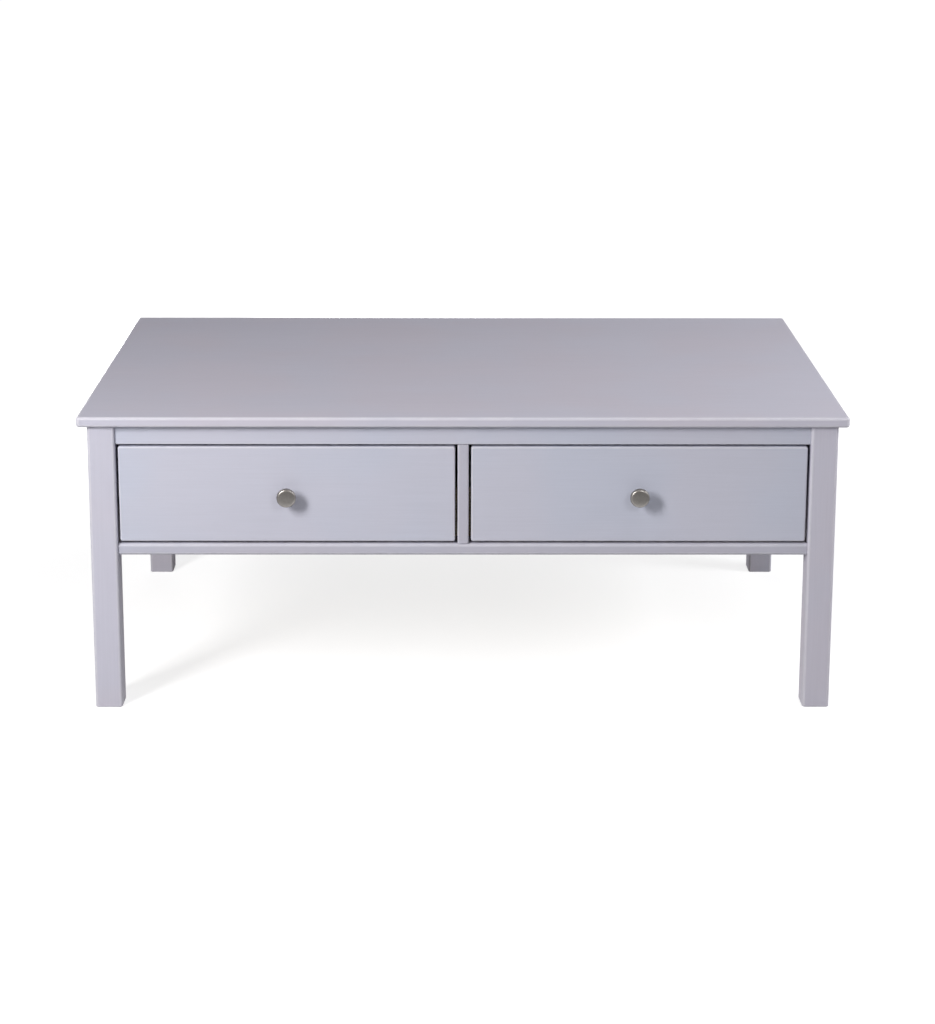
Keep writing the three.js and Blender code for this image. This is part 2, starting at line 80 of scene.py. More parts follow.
class Slot(Enum):
    """The record's material slots."""

    PAINT = "painted_wood"
    PINE = "pine"
    BEECH = "beech"
    PLYWOOD = "plywood"
    NICKEL = "satin_nickel"
    ZINC = "zinc_steel"


class Grain(Enum):
    """The way a board's fibres run, as the turn that lays them along a pattern's X axis."""

    ALONG_X = (0.0, 0.0, 0.0)
    ALONG_Y = (0.0, 0.0, -math.pi / 2)
    ALONG_Z = (0.0, math.pi / 2, 0.0)

    @property
    def axis(self) -> int:
        """The axis that the fibres run along."""
        return list(Grain).index(self)


class Side(Enum):
    """The left or right half of the table, as the sign of its X."""

    LEFT = -1
    RIGHT = 1

    @property
    def word(self) -> str:
        """The side's name, as the nodes spell it."""
        return self.name.lower()


class Facing(Enum):
    """The way a screw's head or a knob faces, as the turn from +Z."""

    DOWN = (math.pi, 0.0, 0.0)
    FRONT = (math.pi / 2, 0.0, 0.0)
    BACK = (-math.pi / 2, 0.0, 0.0)
    LEFT = (0.0, -math.pi / 2, 0.0)
    RIGHT = (0.0, math.pi / 2, 0.0)


@dataclass(frozen=True)
class Noise:
    """A noise pattern: its cells for each unit, its finer layers and the share that each adds."""

    cells: float = 1.0
    layers: float = 2.0
    share: float = 0.5


@dataclass(frozen=True)
class Span:
    """A range of values, and the range that it is carried onto."""

    low: float
    high: float
    to_low: float = 0.0
    to_high: float = 1.0


class NodeGraph:
    """A short way to write the nodes of a material or of the world."""

    def __init__(self, tree: bpy.types.NodeTree) -> None:
        """Keeps the tree that nodes are added to."""
        self.tree = tree

    def add(
        self, kind: str, inputs: dict[int | str, SocketValue] | None = None, **settings: object
    ) -> bpy.types.Node:
        """Adds a node.

        Args:
            kind: The node's type.
            inputs: What each input socket takes, a constant or another socket.
            settings: The node's own properties.

        Returns:
            The new node.
        """
        node = self.tree.nodes.new(kind)
        for name, value in settings.items():
            setattr(node, name, value)
        for key, value in (inputs or {}).items():
            self.feed(node.inputs[key], value)
        return node

    def feed(self, socket: bpy.types.NodeSocket, value: SocketValue) -> None:
        """Links a socket to another, or sets its constant.

        Args:
            socket: The socket that is fed.
            value: Another socket or a constant.
        """
        if isinstance(value, bpy.types.NodeSocket):
            self.tree.links.new(value, socket)
        else:
            socket.default_value = value

    def place(
        self,
        vector: SocketValue,
        scale: Triple = (1.0, 1.0, 1.0),
        turn: Triple = (0.0, 0.0, 0.0),
        shift: Triple = (0.0, 0.0, 0.0),
    ) -> bpy.types.NodeSocket:
        """Shifts, turns and stretches a pattern's coordinates.

        Args:
            vector: The coordinates.
            scale: The stretch of each axis, after the turn.
            turn: The turn, in radians.
            shift: The shift after the stretch.

        Returns:
            The new coordinates.
        """
        turned = self.add("ShaderNodeMapping", {"Vector": vector, "Rotation": turn})
        inputs = {"Vector": turned.outputs[0], "Scale": scale, "Location": shift}
        return self.add("ShaderNodeMapping", inputs).outputs[0]

    def noise(self, vector: SocketValue, pattern: Noise) -> bpy.types.NodeSocket:
        """Adds a noise pattern.

        Args:
            vector: The coordinates.
            pattern: The noise's cells and layers.

        Returns:
            The pattern's value, about 0.5 on average.
        """
        inputs = {
            "Vector": vector, "Scale": pattern.cells, "Detail": pattern.layers, "Roughness": pattern.share}
        return self.add("ShaderNodeTexNoise", inputs).outputs["Fac"]

    def remap(self, value: SocketValue, span: Span) -> bpy.types.NodeSocket:
        """Carries a value over a span, smoothly and clamped.

        Args:
            value: The value.
            span: The range that it comes from and the range that it goes to.

        Returns:
            The result.
        """
        inputs = {0: value, 1: span.low, 2: span.high, 3: span.to_low, 4: span.to_high}
        return self.add("ShaderNodeMapRange", inputs, interpolation_type="SMOOTHSTEP").outputs[0]

    def sum_of(self, first: SocketValue, second: SocketValue, weight: float) -> bpy.types.NodeSocket:
        """Gives second times weight, plus first."""
        inputs = {0: second, 1: weight, 2: first}
        return self.add("ShaderNodeMath", inputs, operation="MULTIPLY_ADD").outputs[0]

    def product(self, first: SocketValue, second: SocketValue) -> bpy.types.NodeSocket:
        """Gives first times second."""
        return self.add("ShaderNodeMath", {0: first, 1: second}, operation="MULTIPLY").outputs[0]

    def blend(self, share: SocketValue, first: SocketValue, second: SocketValue) -> bpy.types.NodeSocket:
        """Mixes two colours.

        Args:
            share: The share of the second colour.
            first: The colour at share 0.
            second: The colour at share 1.

        Returns:
            The mixed colour.
        """
        inputs = {0: share, 6: rgba(first), 7: rgba(second)}
        return self.add("ShaderNodeMix", inputs, data_type="RGBA").outputs[2]

    def relief(
        self, height: SocketValue, depth: float, strength: float, under: SocketValue | None = None
    ) -> bpy.types.NodeSocket:
        """Turns a height pattern into a bent surface normal.

        Args:
            height: The pattern.
            depth: The height of one unit of the pattern, in metres.
            strength: How much of the relief shows.
            under: The normal of a relief below this one.

        Returns:
            The normal.
        """
        inputs = {"Height": height, "Distance": depth, "Strength": strength}
        if under is not None:
            inputs["Normal"] = under
        return self.add("ShaderNodeBump", inputs).outputs[0]


def rgba(colour: SocketValue) -> SocketValue:
    """Adds the alpha that a colour socket wants, unless the colour comes from another node."""
    return colour if isinstance(colour, bpy.types.NodeSocket) else (*colour, 1.0)


def scaled(colour: Colour, shares: Colour) -> Colour:
    """Gives a colour with each channel taken by its share."""
    return tuple(channel * share for channel, share in zip(colour, shares))


@dataclass(frozen=True)
class Coat:
    """What a finish is written with: nodes, the table's own coordinates in metres, and the grain."""

    graph: NodeGraph
    surface: bpy.types.NodeInputs
    coords: bpy.types.NodeSocket
    grain: Grain


@dataclass(frozen=True)
class Finish:
    """A finish, whose material is made once for each grain direction."""

    name: str
    slot: Slot

    def material(self, grain: Grain) -> bpy.types.Material:
        """Gives the finish's material for a grain direction.

        Args:
            grain: The way the fibres run.

        Returns:
            The material, made at the first call.
        """
        name = f"{self.name}_{grain.name.lower()}"
        found = bpy.data.materials.get(name)
        if found is not None:
            return found
        made = bpy.data.materials.new(name)
        made.use_nodes = True
        graph = NodeGraph(made.node_tree)
        surface = made.node_tree.nodes["Principled BSDF"].inputs
        coords = graph.add("ShaderNodeTexCoord").outputs["Object"]
        self.paint(Coat(graph, surface, coords, grain))
        return made

    def paint(self, coat: Coat) -> None:
        """Writes the nodes of the finish. Each finish has its own.

        Args:
            coat: The material's nodes, coordinates and grain.
        """
        raise NotImplementedError


@dataclass(frozen=True)
class PaintedWood(Finish):
    """Satin lacquer on wood: faint fibres, and arrises lightened as wear and as a painted highlight."""

    colour: Colour = (0.548, 0.535, 0.615)
    # The arrises' lighter colour: rubbed paint, and also a painted highlight on the rounded edges.
    worn_and_highlight_colour: Colour = (0.70, 0.685, 0.735)
    cool_share: Colour = (0.988, 1.0, 1.016)
    warm_share: Colour = (1.014, 0.996, 0.998)
    fibres_across: float = 420.0
    fibres_along: float = 9.0
    boards_across: float = 11.0
    boards_along: float = 0.8
    fibre_noise: Noise = Noise(1.0, 4.0, 0.6)
    board_noise: Noise = Noise(1.0, 3.0, 0.55)
    cloud_noise: Noise = Noise(5.0)
    roller_noise: Noise = Noise(1300.0)
    rub_and_highlight_noise: Noise = Noise(38.0, 3.0, 0.6)
    hue: Span = Span(0.36, 0.64)
    wear_and_highlight: Span = Span(0.35, 0.70, 0.26, 0.50)
    fibre_light: Span = Span(*MOST_NOISE, 0.982, 1.012)
    board_light: float = 0.03
    gloss: Span = Span(*MOST_NOISE, 0.43, 0.49)
    roller_gloss: float = 0.04
    fibre_depth: float = 0.05 * MM
    fibre_relief: float = 0.35
    roller_depth: float = 0.03 * MM
    roller_relief: float = 0.22

    def paint(self, coat: Coat) -> None:
        """Writes clouding, fibres, roller marks, and arrises lightened as wear and as a painted highlight.

        Args:
            coat: The material's nodes, coordinates and grain.
        """
        graph, surface, coords, turn = coat.graph, coat.surface, coat.coords, coat.grain.value
        fine = graph.place(coords, (self.fibres_along, self.fibres_across, self.fibres_across), turn)
        broad = graph.place(coords, (self.boards_along, self.boards_across, self.boards_across), turn)
        fibres = graph.noise(fine, self.fibre_noise)
        boards = graph.noise(broad, self.board_noise)
        clouds = graph.noise(coords, self.cloud_noise)
        roller = graph.noise(coords, self.roller_noise)
        cool, warm = scaled(self.colour, self.cool_share), scaled(self.colour, self.warm_share)
        tone = graph.blend(graph.remap(clouds, self.hue), cool, warm)
        light = graph.sum_of(graph.remap(fibres, self.fibre_light), boards, self.board_light)
        shade = graph.add("ShaderNodeVectorMath", {0: tone, 3: light}, operation="SCALE").outputs[0]
        arris = graph.add("ShaderNodeAttribute", attribute_name="arris").outputs["Fac"]
        # Lightens the arrises in patches, as rubbed paint and as a painted highlight along them.
        worn_and_highlit = graph.product(arris, graph.remap(graph.noise(coords, self.rub_and_highlight_noise), self.wear_and_highlight))
        graph.feed(surface["Base Color"], graph.blend(worn_and_highlit, shade, self.worn_and_highlight_colour))
        gloss = graph.sum_of(graph.remap(clouds, self.gloss), roller, self.roller_gloss)
        graph.feed(surface["Roughness"], gloss)
        grained = graph.relief(fibres, self.fibre_depth, self.fibre_relief)
        rolled = graph.relief(roller, self.roller_depth, self.roller_relief, grained)
        graph.feed(surface["Normal"], rolled)


@dataclass(frozen=True)
class SawnWood(Finish):
    """Planed bare wood: growth rings round a pith beside the board, fine fibres and a thin sealer."""

    early: Colour = (0.78, 0.60, 0.36)
    late: Colour = (0.60, 0.38, 0.17)
    fibre_shade: float = 0.62
    ring_pitch: float = 4.5 * MM
    ring_profile: str = "SAW"
    ring_start: float = 0.35
    ring_contrast: float = 0.55
    pith: Triple = (0.0, 0.045, 0.085)
    waviness: float = 6 * MM
    wave_length: float = 0.22
    waves_across: float = 9.0
    fibres_across: float = 900.0
    fibres_along: float = 14.0
    fibre_noise: Noise = Noise(1.0, 4.0, 0.6)
    fibre_span: Span = Span(0.48, 0.8, 0.0, 0.35)
    gloss: Span = Span(0.0, 1.0, 0.56, 0.45)
    fibre_depth: float = 0.08 * MM
    fibre_relief: float = 0.5

    def paint(self, coat: Coat) -> None:
        """Writes growth rings, fibres and their relief.

        Args:
            coat: The material's nodes, coordinates and grain.
        """
        graph, surface = coat.graph, coat.surface
        laid = graph.place(coat.coords, turn=coat.grain.value, shift=self.pith)
        drift_coords = graph.place(laid, (1 / self.wave_length, self.waves_across, self.waves_across))
        drift = graph.add("ShaderNodeTexNoise", {"Vector": drift_coords, "Scale": 1.0, "Detail": 2.0})
        bend = graph.add(
            "ShaderNodeVectorMath",
            {0: drift.outputs["Color"], 1: (self.waviness,) * 3, 2: laid},
            operation="MULTIPLY_ADD").outputs[0]
        rings = graph.add(
            "ShaderNodeTexWave",
            {"Vector": bend, "Scale": WAVE_PERIOD / self.ring_pitch, "Distortion": 0.0},
            wave_type="RINGS", rings_direction="X", wave_profile=self.ring_profile).outputs["Fac"]
        late = graph.remap(rings, Span(self.ring_start, 1.0, 0.0, self.ring_contrast))
        fine = graph.place(laid, (self.fibres_along, self.fibres_across, self.fibres_across))
        fibres = graph.noise(fine, self.fibre_noise)
        tone = graph.blend(late, self.early, self.late)
        darker = scaled(self.late, (self.fibre_shade,) * 3)
        graph.feed(surface["Base Color"], graph.blend(graph.remap(fibres, self.fibre_span), tone, darker))
        graph.feed(surface["Roughness"], graph.remap(rings, self.gloss))
        graph.feed(surface["Normal"], graph.relief(fibres, self.fibre_depth, self.fibre_relief))


@dataclass(frozen=True)
class SheetPlywood(SawnWood):
    """Three-ply sheet: a calm rotary-cut face, with the plies showing at its edges."""

    early: Colour = (0.74, 0.60, 0.41)
    late: Colour = (0.62, 0.46, 0.28)
    core: Colour = (0.42, 0.28, 0.15)
    ring_pitch: float = 30 * MM
    ring_contrast: float = 0.5
    ring_profile: str = "SIN"
    waviness: float = 26 * MM
    wave_length: float = 0.4
    ply: float = 4 / 3 * MM
    glue_line: float = 0.1
    upright: Span = Span(0.2, 0.6, 1.0, 0.0)

    def paint(self, coat: Coat) -> None:
        """Writes the face's veneer, and the darker core where a surface stands upright.

        Args:
            coat: The material's nodes, coordinates and grain.
        """
        super().paint(coat)
        graph, surface = coat.graph, coat.surface
        face = surface["Base Color"].links[0].from_socket
        normal = graph.add("ShaderNodeNewGeometry").outputs["Normal"]
        lean = graph.add("ShaderNodeSeparateXYZ", {0: normal}).outputs["Z"]
        level = graph.add("ShaderNodeMath", {0: lean}, operation="ABSOLUTE").outputs[0]
        height = graph.add("ShaderNodeSeparateXYZ", {0: coat.coords}).outputs["Z"]
        layer = graph.add("ShaderNodeMath", {0: height, 1: 2 * self.ply}, operation="PINGPONG").outputs[0]
        inner = Span(self.ply * (1 - self.glue_line), self.ply * (1 + self.glue_line))
        core = graph.product(graph.remap(level, self.upright), graph.remap(layer, inner))
        graph.feed(surface["Base Color"], graph.blend(core, face, self.core))


@dataclass(frozen=True)
class SatinMetal(Finish):
    """Turned and brushed metal: lathe rings on the faces that have them, and faint handling marks."""

    # Darker than bare satin nickel: the colour paints in the dim reflection that the knobs show.
    colour: Colour = (0.322, 0.305, 0.290)
    mark_shade: float = 0.86
    ring_noise: Noise = Noise(5200.0, 2.0, 0.7)
    mark_noise: Noise = Noise(260.0, 3.0, 0.6)
    marks_seen: Span = Span(0.35, 0.7)
    gloss: Span = Span(0.3, 0.75, 0.29, 0.38)
    ring_gloss: float = 0.05
    ring_depth: float = 0.02 * MM
    ring_relief: float = 0.25

    def paint(self, coat: Coat) -> None:
        """Writes lathe rings from the turned radius, and marks in the gloss.

        Args:
            coat: The material's nodes, coordinates and grain.
        """
        graph, surface = coat.graph, coat.surface
        radius = graph.add("ShaderNodeAttribute", attribute_name="turned_radius").outputs["Fac"]
        rings = graph.noise(graph.add("ShaderNodeCombineXYZ", {0: radius}).outputs[0], self.ring_noise)
        marks = graph.noise(coat.coords, self.mark_noise)
        marked = scaled(self.colour, (self.mark_shade,) * 3)
        tone = graph.blend(graph.remap(marks, self.marks_seen), self.colour, marked)
        graph.feed(surface["Base Color"], tone)
        surface["Metallic"].default_value = 1.0
        gloss = graph.sum_of(graph.remap(marks, self.gloss), rings, self.ring_gloss)
        graph.feed(surface["Roughness"], gloss)
        graph.feed(surface["Normal"], graph.relief(rings, self.ring_depth, self.ring_relief))


FRAME_PAINT = PaintedWood("lilac_grey_lacquer", Slot.PAINT)
PANEL_PAINT = PaintedWood("blue_grey_lacquer", Slot.PAINT, colour=(0.536, 0.548, 0.638))
# A copy of the frame's paint made about a tenth darker, for the lower rail and the partition; its lighter
# worn colour also paints a highlight on their arrises.
RAIL_PAINT = PaintedWood(
    "darker_lacquer", Slot.PAINT, colour=(0.478, 0.476, 0.552), worn_and_highlight_colour=(0.66, 0.65, 0.71))
PINE = SawnWood("sealed_pine", Slot.PINE)
BEECH = SawnWood(
    "beech_dowel", Slot.BEECH, early=(0.62, 0.42, 0.24), late=(0.52, 0.33, 0.18), ring_pitch=3 * MM)
PLYWOOD = SheetPlywood("birch_plywood", Slot.PLYWOOD)
# The knobs' nickel is darker than the bare metal, which paints in their dim reflection.
NICKEL = SatinMetal("satin_nickel", Slot.NICKEL)
ZINC = SatinMetal(
    "zinc_plated_steel", Slot.ZINC, colour=(0.60, 0.62, 0.64), ring_noise=Noise(900.0, 2.0, 0.7),
    gloss=Span(0.3, 0.75, 0.31, 0.40))


def clear_selection() -> None:
    """Leaves edit mode and deselects every object."""
    if bpy.context.mode != "OBJECT":
        bpy.ops.object.mode_set(mode="OBJECT")
    bpy.ops.object.select_all(action="DESELECT")


def pick(obj: bpy.types.Object) -> None:
    """Makes one object the only selected and the active one.

    Args:
        obj: The object.
    """
    clear_selection()
    obj.select_set(True)
    bpy.context.view_layer.objects.active = obj


def open_empty(obj: bpy.types.Object, kind: str) -> None:
    """Deselects all of a mesh, so that its edges or faces can be selected in code.

    Args:
        obj: The object.
        kind: What is selected next, "EDGE" or "FACE".
    """
    pick(obj)
    bpy.ops.object.mode_set(mode="EDIT")
    bpy.ops.mesh.select_mode(type=kind)
    bpy.ops.mesh.select_all(action="DESELECT")
    bpy.ops.object.mode_set(mode="OBJECT")


def add_object(name: str, data: bpy.types.ID) -> bpy.types.Object:
    """Adds an object to the scene.

    Args:
        name: Its name.
        data: Its mesh, lamp or camera.

    Returns:
        The object.
    """
    made = bpy.data.objects.new(name, data)
    bpy.context.scene.collection.objects.link(made)
    return made


def to_origin(obj: bpy.types.Object) -> bpy.types.Object:
    """Moves an object's place, turn and size into its mesh.

    Args:
        obj: The object.

    Returns:
        The same object, which now sits at the origin.
    """
    pick(obj)
    bpy.ops.object.transform_apply(location=True, rotation=True, scale=True)
    return obj


def add_block(name: str, low: Vector, high: Vector) -> bpy.types.Object:
    """Adds a square-edged block between two corners.

    Args:
        name: The new object's name.
        low: Its lowest corner.
        high: Its highest corner.

    Returns:
        The block.
    """
    clear_selection()
    bpy.ops.mesh.primitive_cube_add(size=1.0, location=(low + high) / 2)
    block = bpy.context.object
    block.name = name
    block.scale = high - low
    return to_origin(block)


def ease_edges(obj: bpy.types.Object, width: float, segments: int, chosen: EdgeTest) -> None:
    """Rounds the edges that a test picks.

    Args:
        obj: The object.
        width: The radius of the arris.
        segments: The number of facets round it.
        chosen: Says of an edge's two ends whether it is rounded.
    """
    open_empty(obj, "EDGE")
    corners = obj.data.vertices
    for edge in obj.data.edges:
        edge.select = chosen(*(corners[index].co for index in edge.vertices))
    bpy.ops.object.mode_set(mode="EDIT")
    bpy.ops.mesh.bevel(offset=width, segments=segments, affect="EDGES", clamp_overlap=True)
    bpy.ops.object.mode_set(mode="OBJECT")


def runs_along(axis: int) -> EdgeTest:
    """Picks the edges that run along an axis."""
    return lambda start, end: abs((end - start).normalized()[axis]) > FLAT_SHARE


def lies_at(axis: int, *places: float) -> EdgeTest:
    """Picks the edges that lie at one of some places on an axis.

    Args:
        axis: The axis.
        places: The places along it.

    Returns:
        The test.
    """

    def test(start: Vector, end: Vector) -> bool:
        """Says whether the edge lies across the axis, at one of the places."""
        middle, way = (start + end)[axis] / 2, (end - start).normalized()[axis]
        return abs(way) < 1 - FLAT_SHARE and any(abs(middle - place) < SAME_PLACE for place in places)

    return test


def fair(obj: bpy.types.Object) -> bpy.types.Object:
    """Shades rounded arrises smooth and broad faces flat, and marks the arrises for the finishes.

    Args:
        obj: The object.

    Returns:
        The same object.
    """
    pick(obj)
    bpy.ops.object.shade_smooth_by_angle(angle=CRISP_ANGLE)
    weighting = obj.modifiers.new("weighted_normals", "WEIGHTED_NORMAL")
    weighting.keep_sharp = True
    bpy.ops.object.modifier_apply(modifier=weighting.name)
    arris = obj.data.attributes.new("arris", "FLOAT", "FACE")
    for face, mark in zip(obj.data.polygons, arris.data):
        mark.value = 0.0 if max(abs(n) for n in face.normal) > FLAT_SHARE else 1.0
    return obj


def copy_of(node: str, name: str) -> bpy.types.Object:
    """Makes a merged copy of a node's mesh, with whole faces in place of loose triangles.

    Args:
        node: The node's name.
        name: The copy's name.

    Returns:
        The copy.
    """
    made = add_object(name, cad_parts[node].data.copy())
    pick(made)
    bpy.ops.mesh.customdata_custom_splitnormals_clear()
    bpy.ops.object.mode_set(mode="EDIT")
    bpy.ops.mesh.select_all(action="SELECT")
    bpy.ops.mesh.remove_doubles(threshold=SAME_POINT)
    bpy.ops.mesh.dissolve_limited(angle_limit=FLAT_ANGLE)
    bpy.ops.object.mode_set(mode="OBJECT")
    return made


def seat(
    obj: bpy.types.Object,
    body: Body,
    finish: Finish,
    grain: Grain = Grain.ALONG_X,
    replaced: Iterable[str] = (),
) -> None:
    """Gives a piece its finish, lets it ride on its body and reports it.

    Args:
        obj: The piece.
        body: The body that it moves with.
        finish: Its finish.
        grain: The way its fibres run.
        replaced: The nodes that it stands for.
    """
    obj.data.materials.clear()
    obj.data.materials.append(finish.material(grain))
    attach(obj, body.value)
    nodes = list(replaced)
    if nodes:
        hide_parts(*nodes)
    log.info("%s on %s, for %s", obj.name, body.value, ", ".join(nodes) or "no node")


def dress_node(node: str, finish: Finish) -> None:
    """Gives a node that stays in view its finish.

    Args:
        node: The node's name.
        finish: Its finish, with its fibres along X.
    """
    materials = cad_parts[node].data.materials
    materials.clear()
    materials.append(finish.material(Grain.ALONG_X))
    log.info("%s keeps its shape, in %s", node, finish.name)


@dataclass
class PhotoCamera:
    """The camera at the photograph's viewing angle: pitch in degrees, yaw and roll in radians."""

    place: Triple = (-0.0160, -3.3427, 1.2637)
    pitch: float = 11.858
    yaw: float = 0.0071
    roll: float = 0.0025
    lens: float = 77.40
    lift: float = -0.22
    clip_near: float = 0.05
    clip_far: float = 60.0

    def build(self) -> None:
        """Adds the camera and makes it the scene's own."""
        data = bpy.data.cameras.new("photo_camera")
        data.lens = self.lens
        data.shift_y = self.lift
        data.clip_start = self.clip_near
        data.clip_end = self.clip_far
        camera = add_object("photo_camera", data)
        level = Matrix.Rotation(math.pi / 2 - math.radians(self.pitch), 4, "X")
        heading = Matrix.Rotation(-self.yaw, 4, "Z")
        tilt = Matrix.Rotation(self.roll, 4, "Z")
        camera.matrix_world = Matrix.Translation(self.place) @ heading @ level @ tilt
        bpy.context.scene.camera = camera
        log.info("camera at %s", self.place)


@dataclass(frozen=True)
class Lamp:
    """A soft box: a rectangular area lamp aimed at a point."""

    name: str
    place: Triple
    aim: Triple
    width: float
    height: float
    power: float
    colour: Colour = WHITE

    def build(self) -> None:
        """Adds the lamp."""
        data = bpy.data.lights.new(self.name, "AREA")
        data.shape = "RECTANGLE"
        data.size = self.width
        data.size_y = self.height
        data.energy = self.power
        data.color = self.colour
        way = Vector(self.aim) - Vector(self.place)
        turn = way.to_track_quat("-Z", "Y").to_matrix().to_4x4()
        add_object(self.name, data).matrix_world = Matrix.Translation(self.place) @ turn


FRONT_MIDDLE: Triple = (0.0, -0.3, 0.35)
TOP_MIDDLE: Triple = (0.0, 0.0, 0.42)
WARM_LIGHT: Colour = (1.012, 1.0, 0.985)
COOL_LIGHT: Colour = (0.992, 1.0, 1.01)


@dataclass
class Studio:
    """A white floor that keeps the table's shadow, a white surround and soft lamps.

    The floor glows for the camera, a little less near the table, where the lamps bring it up to
    white. Gloss mirrors it only in front of the table, which keeps the legs' inner faces dark.
    """

    floor_size: float = 40.0
    floor_cells: int = 8
    floor_colour: Colour = (0.42, 0.42, 0.427)
    floor_roughness: float = 0.9
    glow_by_radius: Span = Span(0.7, 1.5, 0.76, 1.0)
    mirrored_by_radius: Span = Span(0.7, 1.2, 1.0, 0.0)
    mirrored_by_depth: Span = Span(-0.45, -0.15, 1.0, 0.0)
    room_light: float = 0.08
    backdrop_light: float = 0.11
    backdrop_edge: Span = Span(-0.35, 0.15)
    sheet_edge: Span = Span(-0.3, 0.3)
    room_colour: Colour = (0.43, 0.415, 0.40)
    sheet_left: Colour = (0.25, 0.235, 0.26)
    sheet_right: Colour = (0.85, 0.81, 0.86)
    lamps: tuple[Lamp, ...] = (
        Lamp("key_box", (-1.55, -1.85, 1.50), FRONT_MIDDLE, 0.50, 1.0, 51.8, WARM_LIGHT),
        Lamp("front_box", (1.25, -2.85, 1.75), FRONT_MIDDLE, 0.8, 0.8, 13.0, COOL_LIGHT),
        Lamp("top_box", (0.9, -1.1, 2.4), FRONT_MIDDLE, 0.8, 0.8, 4.5),
        Lamp("right_box", (2.2, -0.2, 1.5), TOP_MIDDLE, 0.8, 0.8, 24.0, COOL_LIGHT),
        Lamp("side_box", (1.7, -0.8, 1.1), TOP_MIDDLE, 0.5, 0.5, 2.5),
        Lamp("rear_box", (-0.5, 2.3, 0.28), (0.0, 0.3, 0.28), 1.4, 0.26, 28.0),
        Lamp("flank_box", (2.5, 0.15, 0.28), (0.5, 0.05, 0.28), 1.2, 0.26, 6.0),
    )

    def build(self) -> None:
        """Shows colours as they are written, and adds the floor, the surround and the lamps."""
        bpy.context.scene.view_settings.view_transform = "Standard"
        self.build_floor()
        self.build_surround()
        for lamp in self.lamps:
            lamp.build()
        log.info("studio with %d lamps", len(self.lamps))

    def build_floor(self) -> None:
        """Adds a floor that shows white where no shadow falls on it."""
        clear_selection()
        bpy.ops.mesh.primitive_grid_add(
            x_subdivisions=self.floor_cells, y_subdivisions=self.floor_cells, size=self.floor_size)
        floor = bpy.context.object
        floor.name = "studio_floor"
        material = bpy.data.materials.new("studio_floor")
        material.use_nodes = True
        graph = NodeGraph(material.node_tree)
        surface = material.node_tree.nodes["Principled BSDF"].inputs
        surface["Base Color"].default_value = rgba(self.floor_colour)
        surface["Roughness"].default_value = self.floor_roughness
        surface["Specular IOR Level"].default_value = 0.0
        path = graph.add("ShaderNodeLightPath").outputs
        coords = graph.add("ShaderNodeTexCoord").outputs["Object"]
        radius = graph.add("ShaderNodeVectorMath", {0: coords}, operation="LENGTH").outputs["Value"]
        depth = graph.add("ShaderNodeSeparateXYZ", {0: coords}).outputs["Y"]
        mirrored = graph.product(
            graph.remap(depth, self.mirrored_by_depth), graph.remap(radius, self.mirrored_by_radius))
        seen = graph.sum_of(path["Is Camera Ray"], graph.product(path["Is Glossy Ray"], mirrored), 1.0)
        seen = graph.sum_of(seen, path["Is Transmission Ray"], 1.0)
        surface["Emission Color"].default_value = rgba(WHITE)
        glow = graph.product(seen, graph.remap(radius, self.glow_by_radius))
        graph.feed(surface["Emission Strength"], glow)
        floor.data.materials.append(material)

    def build_surround(self) -> None:
        """Makes the surround: white for the camera, and a pale backdrop and a dim room for the table.

        The backdrop stands behind the table and is darker on its left. The room lies behind the
        camera. Both light the table a little, and gloss mirrors them.
        """
        world = bpy.data.worlds.new("studio_surround")
        bpy.context.scene.world = world
        world.use_nodes = True
        graph = NodeGraph(world.node_tree)
        path = graph.add("ShaderNodeLightPath").outputs
        direction = graph.add("ShaderNodeTexCoord").outputs["Generated"]
        towards = graph.add("ShaderNodeSeparateXYZ", {0: direction}).outputs
        backdrop = graph.remap(towards["Y"], self.backdrop_edge)
        to_right = graph.remap(towards["X"], self.sheet_edge)
        sheet = graph.blend(to_right, self.sheet_left, self.sheet_right)
        reflected = graph.blend(backdrop, self.room_colour, sheet)
        shed = graph.blend(backdrop, (self.room_light,) * 3, (self.backdrop_light,) * 3)
        mirror = graph.sum_of(path["Is Glossy Ray"], path["Is Transmission Ray"], 1.0)
        plain = graph.blend(mirror, shed, reflected)
        colour = graph.blend(path["Is Camera Ray"], plain, WHITE)
        graph.feed(world.node_tree.nodes["Background"].inputs["Color"], colour)


@dataclass
class BoardWork:
    """What the painted boards of the fixed frame share."""

    segments: int = 4

    def board(self, node: str, arris: float, grain: Grain, finish: Finish = FRAME_PAINT) -> None:
        """Builds a board over a node, with the arrises along its length rounded.

        Args:
            node: The node that it stands for.
            arris: The radius of its long arrises.
            grain: The way its length and its fibres run.
            finish: Its finish.
        """
        low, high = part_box(node)
        made = add_block(f"{node}_board", low, high)
        ease_edges(made, arris, self.segments, runs_along(grain.axis))
        fair(made)
        seat(made, Body.FRAME, finish, grain, [node])


@dataclass
class Tabletop(BoardWork):
    """The slab: rounded corners in plan, and soft arrises above and below."""

    corner_radius: float = 5 * MM
    arris: float = 4 * MM
    segments: int = 6

    def build(self) -> None:
        """Builds the slab from a block, its upright corners first."""
        low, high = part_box("tabletop")
        slab = add_block("tabletop_slab", low, high)
        ease_edges(slab, self.corner_radius, self.segments, runs_along(Z_AXIS))
        ease_edges(slab, self.arris, self.segments, lies_at(Z_AXIS, low.z, high.z))
        fair(slab)
        seat(slab, Body.FRAME, FRAME_PAINT, Grain.ALONG_X, ["tabletop"])


@dataclass
class Legs(BoardWork):
    """Four square posts with rounded arrises and a small chamfer at the foot."""

    arris: float = 4 * MM
    foot_chamfer: float = 1 * MM

    def build(self) -> None:
        """Builds each post from a block."""
        for end in ("front", "rear"):
            for side in Side:
                node = f"leg_{end}_{side.word}"
                low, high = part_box(node)
                post = add_block(f"{node}_post", low, high)
                ease_edges(post, self.arris, self.segments, runs_along(Z_AXIS))
                ease_edges(post, self.foot_chamfer, 1, lies_at(Z_AXIS, low.z))
                fair(post)
                seat(post, Body.FRAME, FRAME_PAINT, Grain.ALONG_Z, [node])


